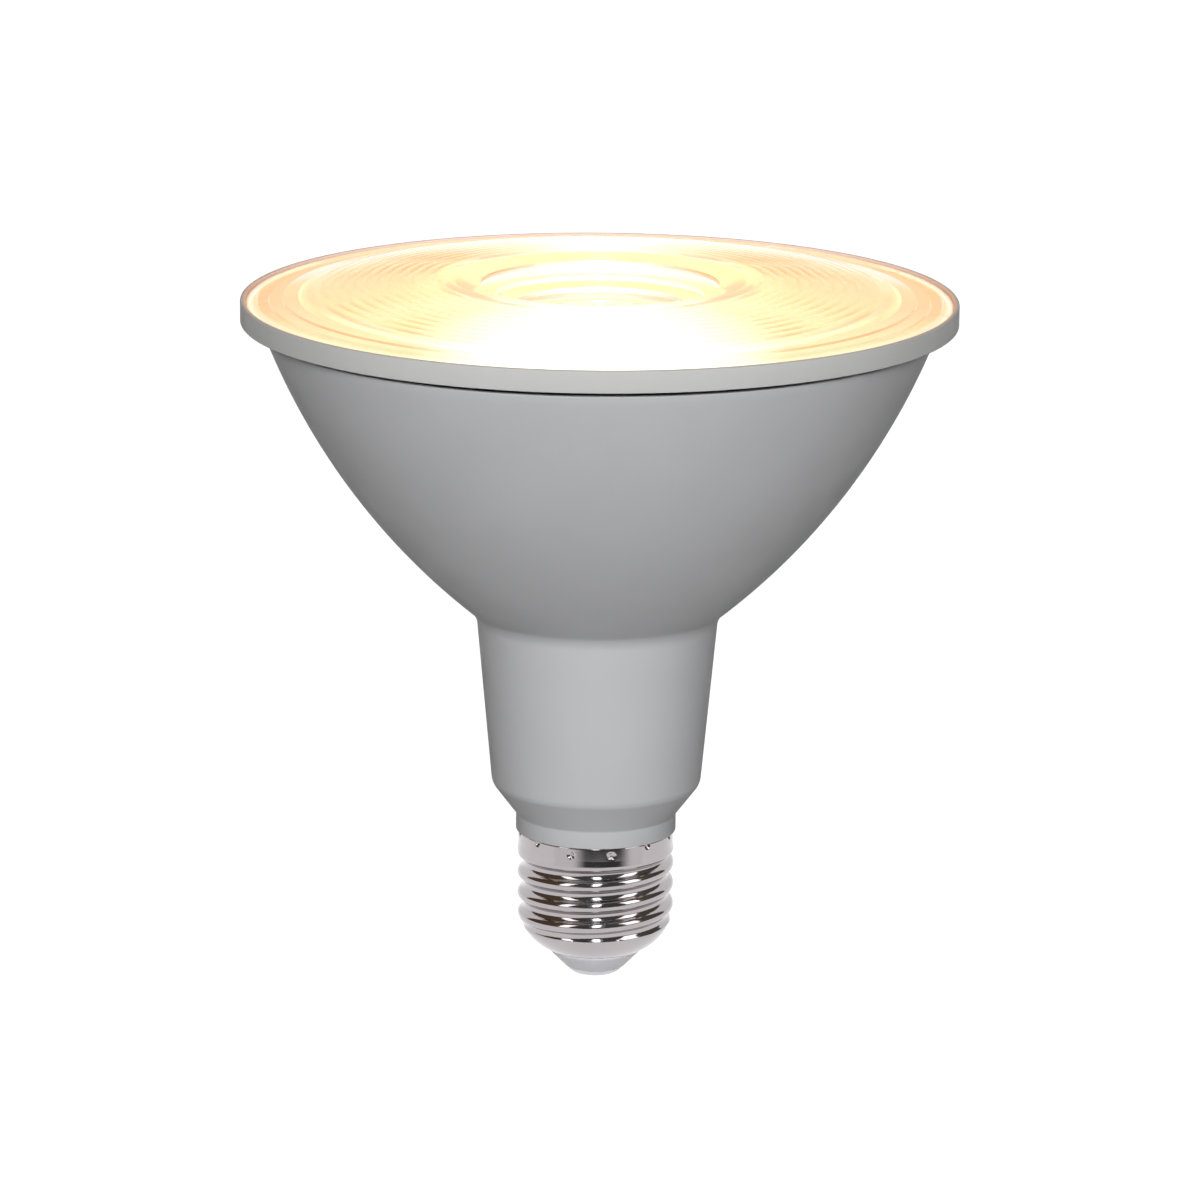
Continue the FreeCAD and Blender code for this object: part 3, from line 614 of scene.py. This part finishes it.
round_edges(housing, (
    (NECK_FOOT_RADIUS, NECK_FOOT, 0.74, 8),
    (NECK_TOP_RADIUS, NECK_TOP, 1.47, 10),
    (COLLAR_RADIUS, COLLAR_TOP, 0.25, 4),
    (COLLAR_RADIUS, COLLAR_FOOT, 0.15, 3),
    (RIM_RADIUS, BOWL_RIM, 0.25, 3),
))
finish_piece(housing, housing_plastic, "housing")


# Screw shell

THREAD_DEPTH = 1.05
THREAD_PITCH = 3.629
SHELL_WALL = 0.35
SHELL_COLLAR_RADIUS = CREST_RADIUS - 0.12
THREAD_TOP = COLLAR_FOOT - 3.1
SHELL_FOOT = height_of("screw_shell", LOW)
SHELL_FOOT_RADIUS = 8.3
SHELL_CURVE = 9.0
CURVE_TOP = 11.2
GROOVE_START = 7.05
CRIMPS = 12
CRIMP_HEIGHT = COLLAR_FOOT - 1.35
CRIMP_RAISE = 1.0
CRIMP_TURN = math.radians(-3.3)
CRIMP_WIDTH = 0.66
CRIMP_DEPTH = 0.34
SHELL_STEPS = 360
CRIMP_CROWDING = 0.55
LIP_ROUND = 0.12
LIP_HEIGHT = 0.3
LIP_CURVE = 0.5
COLLAR_STEP = 0.3
RUN_OUT_FOOT = THREAD_TOP - 1.6
RUN_OUT_TOP = THREAD_TOP - 0.2
THREAD_END = THREAD_TOP + 0.9
CURVE_ROWS, THREAD_ROWS, COLLAR_ROWS, CRIMP_ROWS = 34, 78, 3, 14
ROLL_CURVE = (THREAD_DEPTH ** 2 + (THREAD_PITCH / 2) ** 2) / (4 * THREAD_DEPTH)


def thread_drop(height, angle):
    """How far the rolled thread lies inside its crests, at a height and an angle."""
    turn = (height - GROOVE_START) / THREAD_PITCH - angle / math.tau
    from_groove = abs(turn - round(turn)) * THREAD_PITCH
    if from_groove < THREAD_PITCH / 4:
        return THREAD_DEPTH - (ROLL_CURVE - math.sqrt(ROLL_CURVE ** 2 - from_groove ** 2))
    from_crest = THREAD_PITCH / 2 - from_groove
    return ROLL_CURVE - math.sqrt(ROLL_CURVE ** 2 - from_crest ** 2)


def blend_in(value, low, high):
    """0 below low, 1 above high, and a smooth rise between."""
    share = min(max((value - low) / (high - low), 0), 1)
    return share * share * (3 - 2 * share)


def crimp_place(angle):
    """Angle counted in crimp marks: each mark is at the middle of its own unit."""
    return (angle - CRIMP_TURN + math.tau / 4) / math.tau * CRIMPS


def pressed_radius(radius, height, angle):
    """The shell's radius once the thread is rolled and the crimp marks are punched."""
    if height < THREAD_END:
        left = 1 - blend_in(height, RUN_OUT_FOOT, RUN_OUT_TOP)
        radius = min(radius, CREST_RADIUS - thread_drop(height, angle) * left)
    # two low marks, then two high ones, three times round; the camera's side shows two low ones
    place = crimp_place(angle)
    number = math.floor(place)
    across = (place - number - 0.5) * math.tau / CRIMPS * radius
    lifted = CRIMP_RAISE if (number + 1) % 4 > 1 else 0
    distance = math.hypot(across, height - CRIMP_HEIGHT - lifted)
    return radius - CRIMP_DEPTH * max(1 - (distance / CRIMP_WIDTH) ** 2, 0)


def drawn_closer(angle):
    """Move a column of vertices towards the nearest crimp mark, where the detail is."""
    place = crimp_place(angle)
    off = (place - math.floor(place) - 0.5) * 2
    return angle - off * (1 - abs(off)) * CRIMP_CROWDING * math.tau / CRIMPS / 2


def evenly(low, high, count):
    """Heights from low to high, without low."""
    return [low + (high - low) * step / count for step in range(1, count + 1)]


shell_section = [(SHELL_FOOT_RADIUS, SHELL_FOOT)]
shell_section += arc(shell_section[0], (CREST_RADIUS, CURVE_TOP), SHELL_CURVE, -1, CURVE_ROWS)
shell_section += [(CREST_RADIUS, height) for height in evenly(CURVE_TOP, THREAD_TOP, THREAD_ROWS)]
for low, high, rows in ((THREAD_TOP + COLLAR_STEP, CRIMP_HEIGHT - CRIMP_WIDTH, COLLAR_ROWS),
                        (CRIMP_HEIGHT - CRIMP_WIDTH, COLLAR_FOOT - LIP_HEIGHT, CRIMP_ROWS)):
    shell_section += [(SHELL_COLLAR_RADIUS, height) for height in evenly(low, high, rows)]
shell_lip = (SHELL_COLLAR_RADIUS - LIP_ROUND, COLLAR_FOOT)
shell_section += arc(shell_section[-1], shell_lip, LIP_CURVE, -1, 3)
shell = turned("threaded_shell", shell_section, closed=False, steps=SHELL_STEPS)
for vertex in shell.data.vertices:
    x, y, height = vertex.co / MM
    angle = drawn_closer(math.atan2(y, x))
    pressed = pressed_radius(math.hypot(x, y), height, angle) * MM
    vertex.co.x = pressed * math.cos(angle)
    vertex.co.y = pressed * math.sin(angle)
deselect()
shell.select_set(True)
bpy.context.view_layer.objects.active = shell
bpy.ops.object.modifier_add(type="SOLIDIFY")
thicken = shell.modifiers[0]
thicken.thickness = SHELL_WALL * MM
thicken.offset = -1
bpy.ops.object.modifier_apply(modifier=thicken.name)
finish_piece(shell, nickel, "screw_shell", angle=60)


# Insulator and contact

CONTACT_TOP = height_of("cap_insulator", LOW)
CONTACT_RADIUS = radius_of("centre_contact")
STEM_RADIUS = 1.2
STEM_TOP = height_of("centre_contact", HIGH)
PLUG_TOP = height_of("cap_insulator", HIGH)
PLUG_RADIUS = radius_of("cap_insulator")
PLUG_GAP = 0.3
PLUG_EDGE = (SHELL_FOOT_RADIUS - PLUG_GAP, SHELL_FOOT - PLUG_GAP)
PLUG_FACE = (CONTACT_RADIUS + PLUG_GAP, CONTACT_TOP)
PLUG_ROUND = 0.25

insulator = turned("insulator_plug", [
    (STEM_RADIUS + PLUG_GAP, CONTACT_TOP),
    PLUG_FACE,
    PLUG_EDGE,
    (PLUG_EDGE[0], SHELL_FOOT + 0.5),
    (PLUG_RADIUS, PLUG_TOP - 1.0),
    (PLUG_RADIUS, PLUG_TOP),
    (STEM_RADIUS + PLUG_GAP, PLUG_TOP),
])
round_edges(insulator, ((*PLUG_FACE, PLUG_ROUND, 3), (*PLUG_EDGE, PLUG_ROUND, 3)))
finish_piece(insulator, insulator_glaze, "cap_insulator")

CONTACT_START = 0.02
FACE_EDGE = (CONTACT_RADIUS * 0.68, CONTACT_TOP * 0.25)
SHOULDER = (CONTACT_RADIUS, CONTACT_TOP * 0.85)
contact = turned("contact_button", [
    (CONTACT_START, 0),
    *arc((CONTACT_START, 0), FACE_EDGE, CONTACT_RADIUS * 3, -1, 8),
    *arc(FACE_EDGE, SHOULDER, CONTACT_RADIUS * 0.47, -1, 8),
    (CONTACT_RADIUS, CONTACT_TOP),
    (STEM_RADIUS, CONTACT_TOP),
    (STEM_RADIUS, STEM_TOP),
    (CONTACT_START, STEM_TOP),
])
finish_piece(contact, contact_tin, "centre_contact")


# Floor, surroundings and lights

FLOOR_SIZE = 30
FLOOR_DROP = 0.0004
FLOOR_GLOW = 0.97
SURROUND_LIGHT = 0.08
AIM = Vector((0, 0, 0.07))
PANEL_DISTANCE, STRIP_DISTANCE = 1.9, 1.7


def pale_floor():
    """White to the camera, in gloss and through glass; other rays meet a plain grey."""
    finish = Finish("pale floor")
    finish.colour((0.14, 0.14, 0.14), change=0.01, scale=3)
    finish.set(Roughness=0.9, Emission_Color=(1, 1, 1, 1))
    finish.link(finish.maths("MULTIPLY", finish.seen_directly(), FLOOR_GLOW),
                finish.shader.inputs["Emission Strength"])
    return finish.material


deselect()
bpy.ops.mesh.primitive_plane_add(size=FLOOR_SIZE, location=(0, 0, -FLOOR_DROP))
floor = bpy.context.object
floor.name = "floor"
floor.data.materials.append(pale_floor())

world = bpy.data.worlds.new("studio")
bpy.context.scene.world = world
world.use_nodes = True
surround = Nodes(world.node_tree)
background = surround.tree.nodes["Background"]
background.inputs["Color"].default_value = (1, 1, 1, 1)
surround.link(surround.span(surround.seen_directly(), 0.0, 1.0, SURROUND_LIGHT, 1.0),
              background.inputs["Strength"])


def outward(azimuth):
    """Direction away from the lamp's axis; azimuth 0 is the camera's side."""
    turn = math.radians(azimuth)
    return Vector((math.sin(turn), -math.cos(turn), 0))


def softbox(name, azimuth, elevation, distance, size, power):
    """A rectangular light that faces the middle of the lamp."""
    lift = math.radians(elevation)
    back = outward(azimuth) * math.cos(lift) + Vector((0, 0, math.sin(lift)))
    light = bpy.data.lights.new(name, "AREA")
    light.shape = "RECTANGLE"
    light.size, light.size_y = size
    light.energy = power
    lamp = bpy.data.objects.new(name, light)
    bpy.context.scene.collection.objects.link(lamp)
    lamp.location = AIM + back * distance
    lamp.rotation_mode = "QUATERNION"
    lamp.rotation_quaternion = (-back).to_track_quat("-Z", "Y")
    return lamp


# a low, wide panel at the front lights the lamp, and a weaker one lights its back
panel = softbox("front panel", 0, 18, PANEL_DISTANCE, (0.9, 0.12), 34.5)
panel.visible_glossy = False
rear_panel = softbox("rear panel", 180, 12, PANEL_DISTANCE, (0.3, 0.3), 25)
rear_panel.visible_glossy = False
rear_panel.visible_transmission = False
# three tall strips make the highlights on shiny surfaces and leave matt ones alone
for strip in (softbox("front strip", 0, 32, STRIP_DISTANCE, (0.3, 1.3), 6.9),
              softbox("left strip", -48, 28, STRIP_DISTANCE, (0.45, 1.4), 5.0),
              softbox("right strip", 56, 28, STRIP_DISTANCE, (0.7, 1.4), 7.8)):
    strip.visible_diffuse = False


# Sheets that only shiny surfaces see

WALL_RADIUS, WALL_HEIGHT = 2.4, 6.0
CARD_RADIUS, CARD_LOW, CARD_HIGH = 0.078, 0.121, 0.27
CLOTH_NEAR, CLOTH_FAR, CLOTH_DROP = 0.08, 1.6, 0.0002


def unlit(name):
    """A finish that throws nothing back and shows only its own brightness."""
    return Finish(name).set(Base_Color=(0, 0, 0, 1), Roughness=1.0, Specular_IOR_Level=0.0)


def dark_wall():
    """Brown at the left, cool grey in the middle and brown again at the right."""
    finish = unlit("dark studio wall")
    across = finish.span(finish.along("X"), -WALL_RADIUS / MM, WALL_RADIUS / MM)
    return finish.glow(finish.ramp(across, (
        (0.0, (0.12, 0.08, 0.05)), (0.2, (0.10, 0.07, 0.05)), (0.38, (0.06, 0.07, 0.075)),
        (0.6, (0.06, 0.07, 0.075)), (0.8, (0.08, 0.07, 0.065)),
        (1.0, (0.11, 0.095, 0.085))))).material


def cream_card():
    """Cream, with soft folds."""
    finish = unlit("cream cloth")
    folds = finish.span(finish.noise(scale=1.5), 0.3, 0.7)
    return finish.glow(finish.ramp(folds, ((0, (0.98, 0.76, 0.46)),
                                           (1, (1.0, 0.80, 0.50))))).material


def dark_cloth():
    """Black, fading to the white floor at its two sides and close to the lamp."""
    finish = unlit("dark cloth")
    finish.set(Emission_Color=(1, 1, 1, 1))
    turn = finish.maths("ARCTANGENT", finish.maths("DIVIDE", finish.along("X"), finish.along("Y")))
    aside = finish.maths("ABSOLUTE", finish.maths("ADD", turn, math.radians(10)))
    sides = finish.span(aside, math.radians(22), math.radians(44), 0.06, 1.0,
                        interpolation_type="SMOOTHSTEP")
    near = finish.span(finish.radius(), 85, 91, 1.0, 0.0)
    finish.link(finish.maths("MAXIMUM", sides, near), finish.shader.inputs["Emission Strength"])
    return finish.material


def swept_sheet(name, material, edge, other_edge, azimuths, steps):
    """A sheet between two edges, each (radius, height), swept round the lamp's axis."""
    first, last = azimuths
    start, end = (outward(first) * radius + Vector((0, 0, height))
                  for radius, height in (edge, other_edge))
    sheet = start_point(name, start)
    bpy.ops.mesh.extrude_region_move(TRANSFORM_OT_translate={"value": end - start})
    bpy.ops.mesh.select_all(action="SELECT")
    bpy.ops.mesh.spin(steps=steps, angle=math.radians(first - last), center=(0, 0, 0),
                      axis=(0, 0, 1))
    bpy.ops.object.mode_set(mode="OBJECT")
    sheet.data.materials.append(material)
    sheet.visible_camera = False
    sheet.visible_diffuse = False
    sheet.visible_transmission = False
    sheet.visible_shadow = False


# the wall gives the metal its dark bands, the card tints the lens, the cloth darkens the thread
swept_sheet("studio_wall", dark_wall(), (WALL_RADIUS, 0.02), (WALL_RADIUS, WALL_HEIGHT),
            (-120, 120), 24)
swept_sheet("cream_wall", cream_card(), (CARD_RADIUS, CARD_LOW), (CARD_RADIUS, CARD_HIGH),
            (95, 265), 24)
swept_sheet("far_cloth", dark_cloth(), (CLOTH_NEAR, -CLOTH_DROP), (CLOTH_FAR, -CLOTH_DROP),
            (-60, 70), 12)


# Camera

CAMERA_PLACE = (0.00042, -0.97199, 0.30730)
CAMERA_TILT = 13.985
CAMERA_ROLL = 0.45
FOCAL_LENGTH = 179.25
SENSOR_WIDTH = 36
CLIP_START = 0.05
camera_data = bpy.data.cameras.new("camera")
camera_data.lens = FOCAL_LENGTH
camera_data.sensor_width = SENSOR_WIDTH
camera_data.clip_start = CLIP_START
camera = bpy.data.objects.new("camera", camera_data)
bpy.context.scene.collection.objects.link(camera)
camera.location = CAMERA_PLACE
camera.rotation_mode = "XYZ"
camera.rotation_euler = (math.radians(90 - CAMERA_TILT), 0, 0)
camera.rotation_euler.rotate_axis("Z", math.radians(CAMERA_ROLL))
bpy.context.scene.camera = camera
bpy.context.scene.view_settings.view_transform = "Standard"
